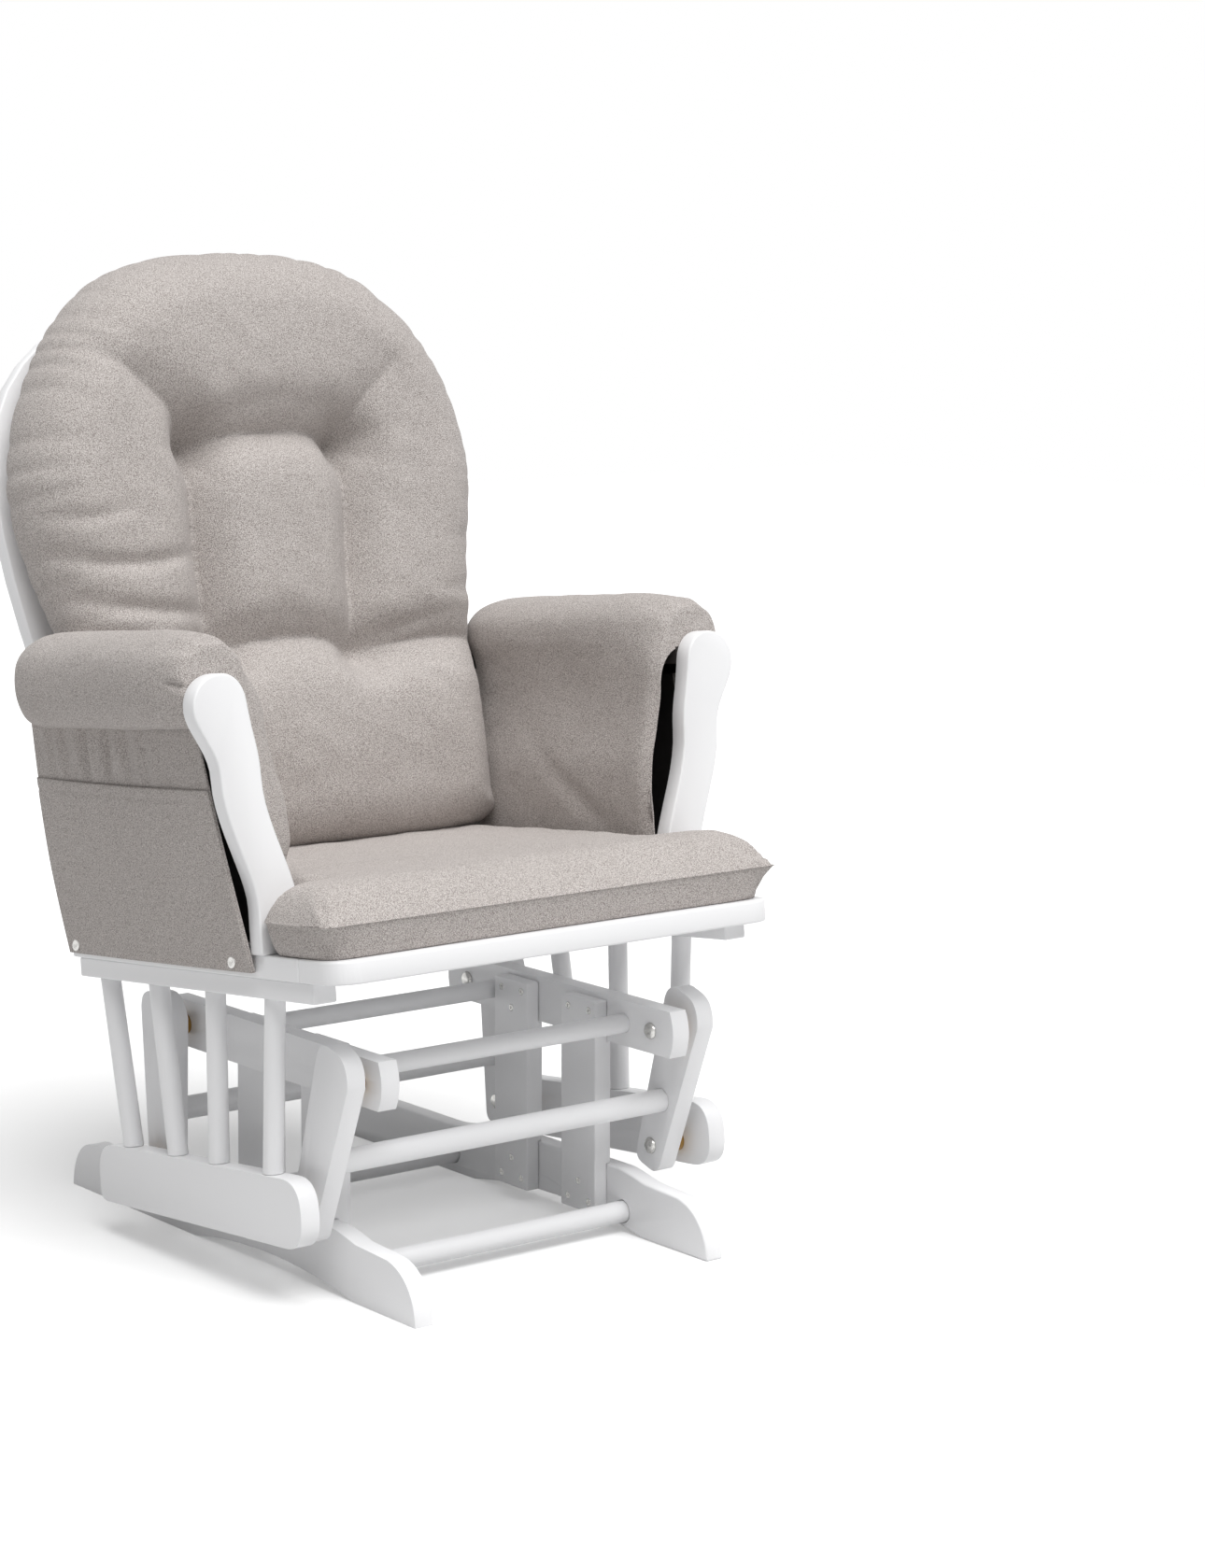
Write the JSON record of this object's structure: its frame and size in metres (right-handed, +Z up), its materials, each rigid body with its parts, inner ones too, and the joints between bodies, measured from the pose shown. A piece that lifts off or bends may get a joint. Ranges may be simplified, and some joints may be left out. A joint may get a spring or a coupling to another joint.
{
  "type": "glider nursery chair",
  "caption": "Upholstered glider armchair with a hooped back, padded arms and a wooden seat frame that swings on link boards over a fixed base.",
  "frame": {"origin": "on the floor, under the middle of the whole chair's box at rest", "axes": "+Z up, the chair faces -Y, +X towards the right of a person who looks at its front"},
  "size_m": [0.6976, 0.6974, 1.0189],
  "materials": {
    "white_paint": "satin white painted hardwood",
    "dark_wood": "black stained board",
    "arm_fabric": "pebbled warm grey upholstery",
    "cushion_fabric": "pebbled warm grey upholstery",
    "plated_steel": "plated bolts and spacers"
  },
  "bodies": {
    "base": {"base_rail_left": "white_paint", "base_rail_right": "white_paint", "base_dowel_front": "white_paint", "base_dowel_rear": "white_paint", "post_front_left": "white_paint", "post_rear_left": "white_paint", "post_front_right": "white_paint", "post_rear_right": "white_paint", "pivot_rail_left": "white_paint", "pivot_rail_right": "white_paint", "rail_dowel_front": "white_paint", "rail_dowel_rear": "white_paint", "upper_bolt_front_left": "plated_steel", "upper_bolt_rear_left": "plated_steel", "upper_bolt_front_right": "plated_steel", "upper_bolt_rear_right": "plated_steel"},
    "front_links": {"link_front_left": "white_paint", "link_front_right": "white_paint", "link_dowel_front": "white_paint", "lower_bolt_front_left": "plated_steel", "lower_bolt_front_right": "plated_steel"},
    "rear_links": {"link_rear_left": "white_paint", "link_rear_right": "white_paint", "link_dowel_rear": "white_paint", "lower_bolt_rear_left": "plated_steel", "lower_bolt_rear_right": "plated_steel"},
    "seat": {"skirt_rail_left": "white_paint", "skirt_rail_right": "white_paint", "lower_rail_left": "white_paint", "lower_rail_right": "white_paint", "spindle_1_left": "white_paint", "spindle_2_left": "white_paint", "spindle_3_left": "white_paint", "spindle_4_left": "white_paint", "spindle_1_right": "white_paint", "spindle_2_right": "white_paint", "spindle_3_right": "white_paint", "spindle_4_right": "white_paint", "seat_front_board": "white_paint", "seat_side_board_left": "white_paint", "seat_side_board_right": "white_paint", "seat_rear_board": "white_paint", "seat_deck": "white_paint", "back_hoop": "white_paint", "back_grille": "white_paint", "arm_post_left": "white_paint", "arm_post_right": "white_paint", "arm_board_left": "dark_wood", "arm_board_right": "dark_wood", "arm_cover_left": "arm_fabric", "arm_cover_right": "arm_fabric", "seat_cushion": "cushion_fabric", "back_cushion": "cushion_fabric"}
  },
  "joints": [
    {"name": "glide", "type": "hinge", "parent": "base", "child": "rear_links", "pos_m": [0, 0.06031, 0.222], "axis": [1, 0, 0], "range_deg": [-22, 10]},
    {"name": "front_link_swing", "type": "hinge", "parent": "base", "child": "front_links", "pos_m": [0, -0.25769, 0.222], "axis": [1, 0, 0], "range_deg": [-23, 11]},
    {"name": "seat_swing", "type": "hinge", "parent": "rear_links", "child": "seat", "pos_m": [0, 0.05564, 0.08008], "axis": [1, 0, 0], "range_deg": [-13, 27.5]}
  ],
  "couplings": [
    {"joint": "front_link_swing", "follows": "glide", "ratio": 1.01},
    {"joint": "seat_swing", "follows": "glide", "ratio": -1.17}
  ]
}
